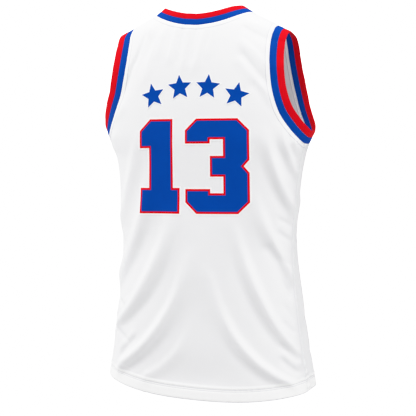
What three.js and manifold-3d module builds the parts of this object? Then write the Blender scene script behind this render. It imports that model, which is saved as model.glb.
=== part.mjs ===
// Basketball jersey, sleeveless, hanging in the shape that it has when worn.
// Millimetres, +Z up. The front faces -Y and the wearer's right is -X.
// The origin is midway between the two shoulder seams, at the height where they meet the neck band.
import * as THREE from "three";
import { mergeVertices } from "three/addons/utils/BufferGeometryUtils.js";
import Module from "manifold-3d";

const wasm = await Module();
wasm.setup();

// Cloth, seams and trim
const clothThickness = 1.4;
const bandThickness = 2.0;
const twillThickness = 1.0;
const seamGap = 0.3;
const neckBandWidth = 23;
const armBandWidth = 28.5;

// Body
const neckDrop = { back: 28, front: 118 };
const neckCurve = { back: 2, front: 2.6 };
const hem = { side: -733, middle: -755, curve: 2.5, tilt: 11 }; // it hangs lower at the wearer's right
const roundness = { back: 2.3, front: 3 };

// Grid of each panel
const columns = 40;
const bodyRows = 22;
const armRows = 12;
const shoulderRows = 3;

function table(names, rows) {
  return rows.map((row) => Object.fromEntries(names.map((name, i) => [name, row[i]])));
}

// Level sections from the neck down: half widths at the wearer's right and left, and depths behind and
// before the side seams
const sections = table(["z", "right", "left", "behind", "before"], [
  [20, 60, 60, 44, 40],
  [0, 98, 98, 54, 46],
  [-28, 150, 150, 64, 70],
  [-60, 172, 172, 71, 90],
  [-100, 187, 187, 77, 104],
  [-150, 198, 197, 81, 114],
  [-200, 204, 201, 84, 121],
  [-240, 207, 201.5, 85, 124],
  [-259, 204, 196, 85, 125],
  [-285, 195.5, 185, 84, 125],
  [-330, 189, 178.5, 82, 124],
  [-390, 182.5, 177, 79, 121],
  [-470, 178, 171.5, 77, 121],
  [-560, 185, 180.5, 86, 132],
  [-650, 196, 189.5, 94, 143],
  [-745, 211, 203, 101, 152],
  [-800, 218, 209, 104, 156],
]);

// Armhole seams from the shoulder tip down to the underarm: half widths on the back and front panels
const armholes = {
  right: table(["z", "back", "front"], [
    [-28, 150, 150],
    [-44, 146.5, 153],
    [-62, 144.5, 153],
    [-92, 144, 154],
    [-128, 146.5, 159],
    [-165, 152.5, 167],
    [-200, 164, 178],
    [-230, 182, 192],
    [-251, 198, 200.5],
    [-259, 204, 204],
  ]),
  left: table(["z", "back", "front"], [
    [-28, 150, 150],
    [-44, 147.5, 153],
    [-62, 146.5, 153],
    [-92, 149, 154],
    [-125, 154, 158],
    [-160, 162, 165],
    [-192, 174, 176],
    [-220, 187, 188],
    [-240, 196.5, 197],
    [-250, 199.5, 199.5],
  ]),
};

// Soft folds: each runs from one point of the panel to another with a sideways bow. A height above 0
// is a ridge and one below 0 is a trough.
const upperFlank = 0.75; // reach of a fold's flanks against its width
const lowerFlank = 1.3;
const foldColumns = ["x", "z", "toX", "toZ", "bow", "height", "width", "toWidth"];
const folds = {
  back: table(foldColumns, [
    [96, -320, 167, -512, -13, 5.5, 16, 14],
    [46, -404, 162, -612, -13, 7.75, 17, 12],
    [12, -489, 149, -692, -25, 9.25, 17, 12],
    [4, -610, 91, -710, -15, 3, 11, 10],
    [-35, -523, -183, -721, 27, 7.75, 15, 11],
    [-83, -436, -191, -664, 10, 8.5, 14, 10],
    [-121, -368, -179, -516, 4, 6.75, 14, 10],
    [-141, -244, -182, -384, 4, 7.5, 13, 9],
    [-171, -234, -189, -316, 3, 5.5, 9, 7],
    [120, -251, 163, -394, -1, 4.25, 13, 10],
    [89, -399, 171, -552, -7, -3, 14, 11],
    [38, -447, 161, -622, -19, -3.75, 14, 10],
    [19, -543, 138, -700, -21, -4.25, 14, 9],
    [-75, -445, -185, -665, 16, -3.75, 13, 9],
    [-131, -430, -180, -539, -2, -3, 11, 8],
    [-49, -571, -181, -728, 26, -4.25, 13, 9],
    [-133, -272, -180, -402, 5, -3.75, 12, 8],
    [-166, -249, -187, -330, 4, -3, 8, 6],
    [92, -46, 148, -147, 4, -3, 13, 9],
  ]),
  front: table(foldColumns, [
    [-186, -430, -200, -760, 0, 11, 34, 34],
    [186, -470, 200, -760, 0, 7, 30, 30],
    [-70, -450, -160, -640, 10, 7, 18, 13],
    [62, -440, 156, -625, -12, 7, 18, 13],
    [-22, -540, -104, -740, 16, 7, 19, 13],
    [30, -550, 122, -738, -18, 7, 19, 13],
    [-108, -505, -160, -660, 5, -4.75, 15, 11],
    [96, -512, 152, -660, -6, -4.75, 15, 11],
    [-48, -610, -120, -745, 8, -4, 14, 11],
    [118, -262, 160, -392, -2, -4.75, 13, 10],
    [-122, -270, -164, -398, 3, -4.75, 13, 10],
    [142, -244, 176, -380, -3, 5.25, 12, 10],
    [-140, -250, -176, -372, 3, 5.25, 12, 10],
    [-30, -160, -88, -250, 5, 3.5, 15, 11],
    [36, -168, 92, -262, -5, 3.5, 15, 11],
  ]),
};

const sideSign = { right: -1, left: 1 };

// Value of a column at a height, smooth between the rows
function valueAt(rows, z, name) {
  const last = rows.length - 1;
  if (z >= rows[0].z) return rows[0][name];
  if (z <= rows[last].z) return rows[last][name];
  let i = 0;
  while (rows[i + 1].z > z) i += 1;
  const slope = (k) => {
    const above = rows[Math.max(k - 1, 0)];
    const below = rows[Math.min(k + 1, last)];
    return (below[name] - above[name]) / (below.z - above.z);
  };
  const span = rows[i + 1].z - rows[i].z;
  const t = (z - rows[i].z) / span;
  const t2 = t * t;
  const t3 = t2 * t;
  return (
    (2 * t3 - 3 * t2 + 1) * rows[i][name] +
    (t3 - 2 * t2 + t) * slope(i) * span +
    (3 * t2 - 2 * t3) * rows[i + 1][name] +
    (t3 - t2) * slope(i + 1) * span
  );
}

function halfWidth(x, z) {
  return valueAt(sections, z, x < 0 ? "right" : "left");
}

function depthColumn(face) {
  return face === "back" ? "behind" : "before";
}

// Point of the smooth body under the folds
function bodyPoint(x, z, face) {
  const share = Math.min(1, Math.abs(x) / halfWidth(x, z)) ** roundness[face];
  const depth = valueAt(sections, z, depthColumn(face)) * (1 - share) ** (1 / roundness[face]);
  return new THREE.Vector3(x, face === "back" ? depth : -depth, z);
}

function bodyNormal(point, face) {
  const power = roundness[face];
  const column = depthColumn(face);
  const width = halfWidth(point.x, point.z);
  const depth = valueAt(sections, point.z, column);
  const widthSlope = (halfWidth(point.x, point.z + 1) - halfWidth(point.x, point.z - 1)) / 2;
  const depthSlope = (valueAt(sections, point.z + 1, column) - valueAt(sections, point.z - 1, column)) / 2;
  const u = Math.abs(point.x) / width;
  const v = Math.abs(point.y) / depth;
  return new THREE.Vector3(
    (Math.sign(point.x) * u ** (power - 1)) / width,
    ((face === "back" ? 1 : -1) * v ** (power - 1)) / depth,
    (-(u ** power) * widthSlope) / width - (v ** power * depthSlope) / depth,
  ).normalize();
}

// Height of the folds: each swells slowly from its first point, falls away gently on its lower flank, and
// dies out at the side seams
function foldHeight(x, z, face) {
  let height = 0;
  for (const fold of folds[face]) {
    const length = Math.hypot(fold.toX - fold.x, fold.toZ - fold.z);
    const alongX = (fold.toX - fold.x) / length;
    const alongZ = (fold.toZ - fold.z) / length;
    const t = ((x - fold.x) * alongX + (z - fold.z) * alongZ) / length;
    const across = (z - fold.z) * alongX - (x - fold.x) * alongZ;
    const inside = Math.min(1, Math.max(0, t));
    const past = (Math.max(0, t - 1) * length) / 28;
    const rise = Math.min(1, Math.max(0, (t + 0.25) / 0.75));
    const off = across - fold.bow * 4 * inside * (1 - inside);
    const flank = off * alongX > 0 ? upperFlank : lowerFlank;
    const reach = (fold.width + (fold.toWidth - fold.width) * inside) * flank;
    height += fold.height * Math.exp(-((off / reach) ** 2) - past * past) * rise * rise * (3 - 2 * rise);
  }
  return height * (1 - Math.min(1, Math.abs(x) / halfWidth(x, z)) ** 30);
}

// One point of a panel's middle surface, with the way out of the cloth
function clothPoint(x, z, face) {
  const base = bodyPoint(x, z, face);
  const normal = bodyNormal(base, face);
  return { point: base.clone().addScaledVector(normal, foldHeight(x, z, face)), normal };
}

// Points of an armhole seam on one panel, evenly spaced from the shoulder tip to the underarm
function armholeSeam(side, face) {
  const rows = armholes[side];
  const sign = sideSign[side];
  const lengths = [0];
  for (let i = 1; i < rows.length; i += 1) {
    const a = bodyPoint(sign * rows[i - 1][face], rows[i - 1].z, face);
    const b = bodyPoint(sign * rows[i][face], rows[i].z, face);
    lengths.push(lengths[i - 1] + a.distanceTo(b));
  }
  const byLength = rows.map((row, i) => ({ z: -lengths[i], height: row.z, width: row[face] }));
  const total = lengths[lengths.length - 1];
  return Array.from({ length: armRows + 1 }, (_, i) => {
    const want = (-total * i) / armRows;
    const z = valueAt(byLength, want, "height");
    const widest = halfWidth(sign, z);
    const end = i === 0 || i === armRows;
    return clothPoint(sign * (end ? widest : Math.min(widest, valueAt(byLength, want, "width"))), z, face);
  });
}

const armholeSeams = {};
for (const side of ["right", "left"]) {
  armholeSeams[side] = { back: armholeSeam(side, "back"), front: armholeSeam(side, "front") };
}

// Where a row of a panel's grid meets the side: along the side seam, the armhole, then the shoulder seam
function rowEnd(row, side, face) {
  const seam = armholeSeams[side][face];
  const sign = sideSign[side];
  if (row < bodyRows) {
    const z = hem.side + ((seam[armRows].point.z - hem.side) * row) / bodyRows;
    const tilted = z + sign * hem.tilt * (1 - row / bodyRows);
    return { x: sign * halfWidth(sign, tilted), z };
  }
  if (row <= bodyRows + armRows) {
    const { point, normal } = seam[bodyRows + armRows - row];
    const base = point.clone().addScaledVector(normal, -foldHeight(point.x, point.z, face));
    return { x: base.x, z: base.z, exact: seam[bodyRows + armRows - row] };
  }
  const z = seam[0].point.z * (1 - (row - bodyRows - armRows) / shoulderRows);
  return { x: sign * halfWidth(sign, z), z };
}

// Grid of one panel's points, row by row from the hem to the neck seam
function panelGrid(face) {
  const rows = bodyRows + armRows + shoulderRows;
  const underarm = -262;
  const tipRow = -neckDrop[face] - 34;
  const grid = [];
  for (let row = 0; row <= rows; row += 1) {
    const body = Math.min(1, row / bodyRows);
    const arm = Math.min(1, Math.max(0, (row - bodyRows) / armRows));
    const top = Math.max(0, (row - bodyRows - armRows) / shoulderRows);
    const middle =
      hem.middle + (underarm - hem.middle) * body + (tipRow - underarm) * arm + (-neckDrop[face] - tipRow) * top;
    const curve = hem.curve + (neckCurve[face] - hem.curve) * arm;
    const ends = { right: rowEnd(row, "right", face), left: rowEnd(row, "left", face) };
    const line = [];
    for (let column = 0; column <= columns; column += 1) {
      const u = (2 * column) / columns - 1;
      const end = u < 0 ? ends.right : ends.left;
      if (Math.abs(u) === 1 && end.exact) {
        line.push(end.exact);
        continue;
      }
      const share = Math.sin((Math.abs(u) * Math.PI) / 2);
      const tilt = hem.tilt * (1 - body) * share * Math.sign(u);
      line.push(clothPoint(end.x * share, middle + (end.z - middle) * share ** curve + tilt, face));
    }
    grid.push(line);
  }
  return grid;
}

// Closed geometry from points and four-cornered faces, turned to face outwards
function closedGeometry(points, quads) {
  const triangles = [];
  for (const [a, b, c, d] of quads) triangles.push([a, b, c], [a, c, d]);
  let volume = 0;
  for (const [a, b, c] of triangles) {
    volume += points[a].dot(points[b].clone().cross(points[c])) / 6;
  }
  const index = triangles.flatMap(([a, b, c]) => (volume < 0 ? [a, c, b] : [a, b, c]));
  const geometry = new THREE.BufferGeometry();
  geometry.setAttribute(
    "position",
    new THREE.Float32BufferAttribute(points.flatMap((point) => point.toArray()), 3),
  );
  geometry.setIndex(index);
  return geometry;
}

// Wall between two distances out from a grid of cloth points
function wallGeometry(grid, inner, outer, moved) {
  const points = [];
  for (const distance of [outer, inner]) {
    for (const line of grid) {
      for (const { point, normal } of line) {
        points.push(point.clone().addScaledVector(normal, distance).add(moved));
      }
    }
  }
  const width = grid[0].length;
  const height = grid.length;
  const layer = width * height;
  const at = (row, column, deep) => row * width + column + deep * layer;
  const quads = [];
  for (let row = 0; row < height - 1; row += 1) {
    for (let column = 0; column < width - 1; column += 1) {
      quads.push([at(row, column, 0), at(row, column + 1, 0), at(row + 1, column + 1, 0), at(row + 1, column, 0)]);
      quads.push([at(row, column, 1), at(row + 1, column, 1), at(row + 1, column + 1, 1), at(row, column + 1, 1)]);
    }
    quads.push([at(row, 0, 0), at(row + 1, 0, 0), at(row + 1, 0, 1), at(row, 0, 1)]);
    const edge = width - 1;
    quads.push([at(row, edge, 0), at(row, edge, 1), at(row + 1, edge, 1), at(row + 1, edge, 0)]);
  }
  for (let column = 0; column < width - 1; column += 1) {
    const top = height - 1;
    quads.push([at(0, column, 0), at(0, column, 1), at(0, column + 1, 1), at(0, column + 1, 0)]);
    quads.push([at(top, column, 0), at(top, column + 1, 0), at(top, column + 1, 1), at(top, column, 1)]);
  }
  return closedGeometry(points, quads);
}

// Closed strip of trim along a seam, between two distances from the seam into the opening. The lean
// turns it away from the cloth's own line, in degrees.
function bandGeometry(seam, from, to, sign, lean) {
  const count = seam.length;
  const near = (i, step) => seam[(i + step + count) % count];
  const evened = seam.map((_, i) => {
    const sum = new THREE.Vector3();
    for (const [step, share] of [[-2, 1], [-1, 2], [0, 3], [1, 2], [2, 1]]) {
      sum.addScaledVector(near(i, step).normal, share);
    }
    return sum.normalize();
  });
  const points = [];
  seam.forEach(({ point }, i) => {
    const along = near(i, 1).point.clone().sub(near(i, -1).point).normalize();
    const normal = evened[i].clone().addScaledVector(along, -evened[i].dot(along)).normalize();
    const flat = along.cross(normal).multiplyScalar(sign).normalize();
    const angle = THREE.MathUtils.degToRad(lean(i / count));
    const across = flat.clone().multiplyScalar(Math.cos(angle)).addScaledVector(normal, Math.sin(angle));
    const out = normal.clone().multiplyScalar(Math.cos(angle)).addScaledVector(flat, -Math.sin(angle));
    for (const [distance, half] of [[from, 1], [to, 1], [to, -1], [from, -1]]) {
      points.push(
        point.clone().addScaledVector(across, distance).addScaledVector(out, (half * bandThickness) / 2),
      );
    }
  });
  const quads = [];
  for (let i = 0; i < count; i += 1) {
    const next = (i + 1) % count;
    for (let k = 0; k < 4; k += 1) {
      const m = (k + 1) % 4;
      quads.push([i * 4 + k, i * 4 + m, next * 4 + m, next * 4 + k]);
    }
  }
  return closedGeometry(points, quads);
}

function toManifold(geometry) {
  const bare = geometry.index ? geometry.toNonIndexed() : geometry.clone();
  bare.deleteAttribute("normal");
  bare.deleteAttribute("uv");
  const merged = mergeVertices(bare, 1e-3);
  return new wasm.Manifold(
    new wasm.Mesh({
      numProp: 3,
      vertProperties: merged.attributes.position.array,
      triVerts: new Uint32Array(merged.index.array),
    }),
  );
}

function fromManifold(solid) {
  const mesh = solid.getMesh();
  const geometry = new THREE.BufferGeometry();
  geometry.setAttribute("position", new THREE.BufferAttribute(Float32Array.from(mesh.vertProperties), 3));
  geometry.setIndex(new THREE.BufferAttribute(Uint32Array.from(mesh.triVerts), 1));
  return geometry;
}

// Outline with each side moved out by the same distance. Its points run counterclockwise.
function grown(outline, distance) {
  return outline.map(([x, y], i) => {
    const [ax, ay] = outline[(i + outline.length - 1) % outline.length];
    const [bx, by] = outline[(i + 1) % outline.length];
    const before = new THREE.Vector2(y - ay, ax - x).normalize();
    const after = new THREE.Vector2(by - y, x - bx).normalize();
    const middle = before.clone().add(after).normalize();
    const reach = distance / Math.max(0.4, middle.dot(before));
    return [x + middle.x * reach, y + middle.y * reach];
  });
}

// Block figures from their lower left corner, as seen from behind
const figureHeight = 176;
const stroke = 42;
const cut = 20;

function figureOne(width) {
  const stem = 20;
  return [
    [0, 0],
    [width, 0],
    [width, stroke],
    [stem + stroke, stroke],
    [stem + stroke, figureHeight],
    [stem, figureHeight],
    [0, figureHeight - cut],
    [0, figureHeight - stroke - 6],
    [stem, figureHeight - stroke - 6],
    [stem, stroke],
    [0, stroke],
  ];
}

function figureThree(width) {
  const middle = figureHeight / 2;
  const bar = 32;
  const barStart = 50;
  const endHeight = 40;
  const thick = 32;
  const outside = [
    [0, cut],
    [cut, 0],
    [width - cut, 0],
    [width, cut],
    [width, middle - 14],
    [width - 12, middle],
  ];
  const inside = [
    [barStart, middle - bar / 2],
    [width - stroke, middle - bar / 2],
    [width - stroke, thick],
    [stroke, thick],
    [stroke, endHeight],
    [0, endHeight],
  ];
  const turned = ([x, y]) => [x, figureHeight - y];
  return [...outside, ...outside.slice(0, 5).map(turned).reverse(), ...inside.map(turned).reverse(), ...inside];
}

function star(radius, turn) {
  return Array.from({ length: 10 }, (_, i) => {
    const reach = i % 2 ? radius * 0.46 : radius;
    const angle = THREE.MathUtils.degToRad(90 + turn + i * 36);
    return [reach * Math.cos(angle), reach * Math.sin(angle)];
  });
}

// Pieces applied to the back. Their places are seen from behind, so "across" grows towards the wearer's right.
const border = 7;
const applied = [
  { name: "figure_one", outline: figureOne(76), across: -108, up: -391 },
  { name: "figure_three", outline: figureThree(118), across: -12, up: -391 },
];
for (const place of table(["number", "across", "up", "turn"], [
  [1, -84, -165, 12],
  [2, -28, -150, 4],
  [3, 29, -150, -4],
  [4, 85, -166, -12],
])) {
  applied.push({ name: `star_${place.number}`, outline: star(25, place.turn), across: place.across, up: place.up });
}

const back = panelGrid("back");
const front = panelGrid("front");
const apart = new THREE.Vector3(0, seamGap / 2 + 0.05, 0);

function appliedGeometry(piece) {
  const lift = clothThickness / 2 + seamGap;
  const shell = toManifold(wallGeometry(back, lift, lift + twillThickness, apart));
  const edge = piece.name.startsWith("star") ? 1.6 : border;
  const points = grown(piece.outline, edge).map(
    ([x, y]) => new THREE.Vector2(x + piece.across, y + piece.up),
  );
  const prism = new THREE.ExtrudeGeometry(new THREE.Shape(points), { depth: 200, bevelEnabled: false });
  prism.rotateX(Math.PI / 2);
  prism.rotateZ(Math.PI);
  return fromManifold(shell.intersect(toManifold(prism)));
}

const colours = {
  knitWhite: new THREE.MeshStandardMaterial({ color: 0xf2f2f3, roughness: 0.85, metalness: 0 }),
  ribBlue: new THREE.MeshStandardMaterial({ color: 0x0047a8, roughness: 0.85, metalness: 0 }),
  ribRed: new THREE.MeshStandardMaterial({ color: 0xe3142b, roughness: 0.85, metalness: 0 }),
  twillBlue: new THREE.MeshStandardMaterial({ color: 0x0047a8, roughness: 0.7, metalness: 0 }),
};

const jersey = new THREE.Group();
jersey.name = "basketball_jersey";

function add(name, geometry, material) {
  const mesh = new THREE.Mesh(geometry, material);
  mesh.name = name;
  jersey.add(mesh);
}

const half = clothThickness / 2;
add("back_panel", wallGeometry(back, -half, half, apart), colours.knitWhite);
add("front_panel", wallGeometry(front, -half, half, apart.clone().negate()), colours.knitWhite);

// Neck band, sewn from an outer red strip and an inner blue strip
const neckSeam = [...back[back.length - 1].slice(columns / 2), ...front[front.length - 1].slice(1, -1).reverse()];
neckSeam.push(...back[back.length - 1].slice(0, columns / 2));
const neckLean = () => 9;
const neckMiddle = neckBandWidth * 0.52;
add("neck_band_blue", bandGeometry(neckSeam, seamGap, neckMiddle, 1, neckLean), colours.ribBlue);
add("neck_band_red", bandGeometry(neckSeam, neckMiddle + seamGap, neckBandWidth, 1, neckLean), colours.ribRed);

// Armhole bands, which stand off more at the back and less under the arm
const armLeans = { right: 2, left: 14 };
for (const side of ["right", "left"]) {
  const seams = armholeSeams[side];
  const seam = [...seams.back, ...seams.front.slice(1, -1).reverse()];
  const lean = (share) => {
    const turn = share * 2 * Math.PI;
    return 20 + 6 * Math.sin(turn) - (armLeans[side] * (1 - Math.cos(turn))) / 2;
  };
  const middle = armBandWidth / 2;
  const sign = sideSign[side];
  add(`${side}_armhole_band_blue`, bandGeometry(seam, seamGap, middle, sign, lean), colours.ribBlue);
  add(`${side}_armhole_band_red`, bandGeometry(seam, middle + seamGap, armBandWidth, sign, lean), colours.ribRed);
}

for (const piece of applied) add(piece.name, appliedGeometry(piece), colours.twillBlue);

export default jersey;
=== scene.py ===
import math

import bmesh
import bpy
import numpy as np
from mathutils import Matrix, Vector
from mathutils.kdtree import KDTree


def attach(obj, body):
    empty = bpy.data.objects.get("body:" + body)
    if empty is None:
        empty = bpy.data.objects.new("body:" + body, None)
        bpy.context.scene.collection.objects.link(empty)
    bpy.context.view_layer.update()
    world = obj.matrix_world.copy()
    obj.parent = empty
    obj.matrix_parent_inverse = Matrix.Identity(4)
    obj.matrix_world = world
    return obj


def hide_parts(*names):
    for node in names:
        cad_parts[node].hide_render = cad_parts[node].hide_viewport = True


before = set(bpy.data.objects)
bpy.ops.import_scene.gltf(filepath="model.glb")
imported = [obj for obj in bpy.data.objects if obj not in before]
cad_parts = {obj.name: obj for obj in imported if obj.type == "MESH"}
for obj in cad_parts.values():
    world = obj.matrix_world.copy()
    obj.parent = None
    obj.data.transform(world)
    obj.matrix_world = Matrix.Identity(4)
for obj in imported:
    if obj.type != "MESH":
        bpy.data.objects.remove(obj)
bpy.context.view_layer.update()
print("frame loaded")

# Lengths are in millimetres until a mesh is made, and the names follow the jersey's wearer
mm = 0.001


def table(names, rows):
    return {name: np.array([row[i] for row in rows], float) for i, name in enumerate(names)}


# The body under the cloth: half widths at the wearer's right and left, depths behind and before
bodySections = table(["z", "right", "left", "behind", "before"], [
    [20, 60, 60, 44, 40],
    [0, 98, 98, 54, 46],
    [-28, 150, 150, 64, 70],
    [-60, 172, 172, 71, 90],
    [-100, 187, 187, 77, 104],
    [-150, 198, 197, 81, 114],
    [-200, 204, 201, 84, 121],
    [-240, 207, 201.5, 85, 124],
    [-259, 204, 196, 85, 125],
    [-285, 195.5, 185, 84, 125],
    [-330, 189, 178.5, 82, 124],
    [-390, 182.5, 177, 79, 121],
    [-470, 178, 171.5, 77, 121],
    [-560, 185, 180.5, 86, 132],
    [-650, 196, 189.5, 94, 143],
    [-745, 211, 203, 101, 152],
    [-800, 218, 209, 104, 156],
])

# Armhole seams from the shoulder tip down to the underarm
armholes = {
    "right": table(["z", "back", "front"], [
        [-28, 150, 150],
        [-44, 146.5, 153],
        [-62, 144.5, 153],
        [-92, 144, 154],
        [-128, 146.5, 159],
        [-165, 152.5, 167],
        [-200, 164, 178],
        [-230, 182, 192],
        [-251, 198, 200.5],
        [-259, 204, 204],
    ]),
    "left": table(["z", "back", "front"], [
        [-24, 143, 143],
        [-44, 146.5, 152],
        [-62, 146.5, 153],
        [-92, 149, 154],
        [-125, 154, 158],
        [-160, 162, 165],
        [-192, 174, 176],
        [-220, 187, 188],
        [-240, 196.5, 197],
        [-250, 199.5, 199.5],
    ]),
}

# How the folds start, spread and end
foldForm = {
    "upperFlank": 0.75,  # reach of a fold's flanks against its width
    "lowerFlank": 1.3,
    "riseFrom": -0.25,  # a main fold rises between these shares of its length
    "riseTo": 0.5,
    "creaseStart": 10,  # reach of a crease before its first point
    "endReach": 28,  # longest reach past the last point
    "sideFade": {"back": 110, "front": 30},  # folds run closer to the side seams at the back
}

# Main folds, the same as the solids': from one point to another with a sideways bow, ridges above 0
foldColumns = ["x", "z", "toX", "toZ", "bow", "height", "width", "toWidth"]
folds = {
    "back": table(foldColumns, [
        [96, -320, 167, -512, -13, 5.5, 16, 14],
        [46, -404, 162, -612, -13, 7.75, 17, 12],
        [12, -489, 149, -692, -25, 9.25, 17, 12],
        [4, -610, 91, -710, -15, 3, 11, 10],
        [-35, -523, -183, -721, 27, 7.75, 15, 11],
        [-83, -436, -191, -664, 10, 8.5, 14, 10],
        [-121, -368, -179, -516, 4, 6.75, 14, 10],
        [-141, -244, -182, -384, 4, 7.5, 13, 9],
        [-171, -234, -189, -316, 3, 5.5, 9, 7],
        [120, -251, 163, -394, -1, 4.25, 13, 10],
        [89, -399, 171, -552, -7, -3, 14, 11],
        [38, -447, 161, -622, -19, -3.75, 14, 10],
        [19, -543, 138, -700, -21, -4.25, 14, 9],
        [-75, -445, -185, -665, 16, -3.75, 13, 9],
        [-131, -430, -180, -539, -2, -3, 11, 8],
        [-49, -571, -181, -728, 26, -4.25, 13, 9],
        [-133, -272, -180, -402, 5, -3.75, 12, 8],
        [-166, -249, -187, -330, 4, -3, 8, 6],
        [92, -46, 148, -147, 4, -3, 13, 9],
    ]),
    "front": table(foldColumns, [
        [-186, -430, -200, -760, 0, 11, 34, 34],
        [186, -470, 200, -760, 0, 7, 30, 30],
        [-70, -450, -160, -640, 10, 7, 18, 13],
        [62, -440, 156, -625, -12, 7, 18, 13],
        [-22, -540, -104, -740, 16, 7, 19, 13],
        [30, -550, 122, -738, -18, 7, 19, 13],
        [-108, -505, -160, -660, 5, -4.75, 15, 11],
        [96, -512, 152, -660, -6, -4.75, 15, 11],
        [-48, -610, -120, -745, 8, -4, 14, 11],
        [118, -262, 160, -392, -2, -4.75, 13, 10],
        [-122, -270, -164, -398, 3, -4.75, 13, 10],
        [142, -244, 176, -380, -3, 5.25, 12, 10],
        [-140, -250, -176, -372, 3, 5.25, 12, 10],
        [-30, -160, -88, -250, 5, 3.5, 15, 11],
        [36, -168, 92, -262, -5, 3.5, 15, 11],
    ]),
}

# Creases that are too fine for the solids, placed in the same way
creases = {
    "back": table(foldColumns, [
        [-190, -258, -195, -291, -2, 3.4, 6, 5],
        [-95, -90, -134, -136, 1, -2, 10, 10],
        [-120, -148, -166, -209, -4, -2.2, 10, 8],
        [16, -38, 21, -97, 0, 2, 6, 8],
        [-19, -39, -2, -101, 0, 2, 6, 8],
        [67, -36, 75, -75, -1, 1.5, 5, 7],
        [41, -39, 51, -86, 0, 1.6, 5, 7],
        [-35, -42, -27, -79, -1, 1.3, 5, 7],
        [0, -38, 9, -87, 2, -1.5, 5, 7],
        [28, -39, 34, -89, 0, -1.5, 5, 7],
        [99, -34, 134, -116, -3, 1.6, 7, 7],
        [108, -49, 146, -135, 0, -1.6, 6, 6],
        [75, -47, 101, -118, 3, 1.1, 7, 8],
        [-94, -64, -135, -103, -1, 1.4, 8, 8],
        [-98, -37, -146, -60, 1, -1.4, 7, 6],
        [-96, -20, -148, -42, -1, 1.2, 5, 5],
        [-90, -99, -144, -169, -2, 1.6, 9, 8],
        [-132, -150, -173, -217, 1, 1.6, 7, 6],
        [169, -214, 189, -245, -1, -1.9, 7, 6],
        [-144, -462, -182, -546, -2, -3.8, 9, 7],
        [-166, -486, -182, -500, -1, -1.7, 5, 4],
        [157, -187, 181, -238, 0, 1.6, 8, 7],
        [-166, -408, -182, -422, -1, -2.2, 5, 5],
        [-165, -436, -182, -453, -1, -2.2, 5, 4],
        [-172, -535, -181, -555, -1, -1.6, 5, 4],
        [-175, -578, -185, -600, -1, -2, 5, 4],
        [-177, -610, -188, -625, 0, -2, 5, 4],
        [-172, -650, -192, -673, 0, -3, 6, 5],
        [-176, -667, -195, -686, 1, 1.9, 5, 5],
        [-176, -681, -195, -699, 1, -2.2, 6, 5],
        [174, -565, 155, -578, 2, -2.2, 5, 5],
        [174, -596, 147, -569, 0, 1.6, 5, 5],
        [170, -627, 146, -644, 1, -2.4, 5, 5],
        [156, -661, 133, -637, 0, 1.6, 6, 6],
        [155, -675, 128, -646, -1, -1.9, 6, 6],
        [166, -443, 152, -460, -1, -1.4, 5, 5],
    ]),
    "front": table(foldColumns, [
        [-60, -132, -96, -210, 4, 1.6, 7, 9],
        [58, -136, 96, -214, -4, 1.6, 7, 9],
        [-120, -96, -146, -178, -2, -1.6, 8, 8],
        [122, -98, 146, -176, 2, -1.6, 8, 8],
        [188, -262, 193, -300, 1, 2.6, 6, 5],
        [-190, -268, -194, -306, 1, 2.6, 6, 5],
        [-172, -436, -182, -458, -1, -1.6, 5, 4],
        [170, -470, 180, -492, -1, -1.6, 5, 4],
        [-174, -590, -188, -612, 0, -2.1, 6, 5],
        [172, -604, 188, -622, 0, -2.1, 6, 5],
        [-170, -652, -192, -674, 0, -2.3, 6, 5],
        [168, -660, 190, -682, 0, -2.3, 6, 5],
        [-2, -610, -28, -744, 5, -2, 10, 12],
        [-90, -600, -152, -738, 5, 2, 10, 10],
        [62, -620, 122, -744, -5, 2, 10, 10],
    ]),
}

# Broad shallow swells and hollows of the cloth between the folds
swellColumns = ["x", "z", "reachX", "reachZ", "height"]
swells = {
    "back": table(swellColumns, [
        [0, -470, 110, 82, 9.5],
        [0, -712, 95, 34, -3.5],
    ]),
    "front": table(swellColumns, [
        [0, -500, 100, 78, 5],
        [0, -700, 95, 34, -3],
    ]),
}

roundness = {"back": 2.3, "front": 3}
depthColumn = {"back": "behind", "front": "before"}
outward = {"back": 1, "front": -1}
sideSign = {"right": -1, "left": 1}


# Value of a column at each height, smooth between the rows, which run downwards
def valueAt(rows, z, name):
    heights, values = rows["z"], rows[name]
    last = len(heights) - 1
    k = np.arange(last + 1)
    above, below = np.maximum(k - 1, 0), np.minimum(k + 1, last)
    slopes = (values[below] - values[above]) / (heights[below] - heights[above])
    z = np.clip(z, heights[last], heights[0])
    i = np.clip(np.searchsorted(-heights, -z, side="right") - 1, 0, last - 1)
    span = heights[i + 1] - heights[i]
    t = (z - heights[i]) / span
    return (
        (2 * t**3 - 3 * t**2 + 1) * values[i]
        + (t**3 - 2 * t**2 + t) * slopes[i] * span
        + (3 * t**2 - 2 * t**3) * values[i + 1]
        + (t**3 - t**2) * slopes[i + 1] * span
    )


def smooth(low, high, value):
    t = np.clip((value - low) / (high - low), 0, 1)
    return t * t * (3 - 2 * t)


def bell(value, width):
    return np.exp(-((value / width) ** 2))


def unit(vectors):
    return vectors / np.linalg.norm(vectors, axis=-1, keepdims=True)


def halfWidth(x, z):
    return np.where(x < 0, valueAt(bodySections, z, "right"), valueAt(bodySections, z, "left"))


def bodyPoint(x, z, face):
    power = roundness[face]
    share = np.minimum(1, np.abs(x) / halfWidth(x, z)) ** power
    depth = valueAt(bodySections, z, depthColumn[face]) * (1 - share) ** (1 / power)
    return np.stack([x, outward[face] * depth, z], axis=-1)


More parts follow.
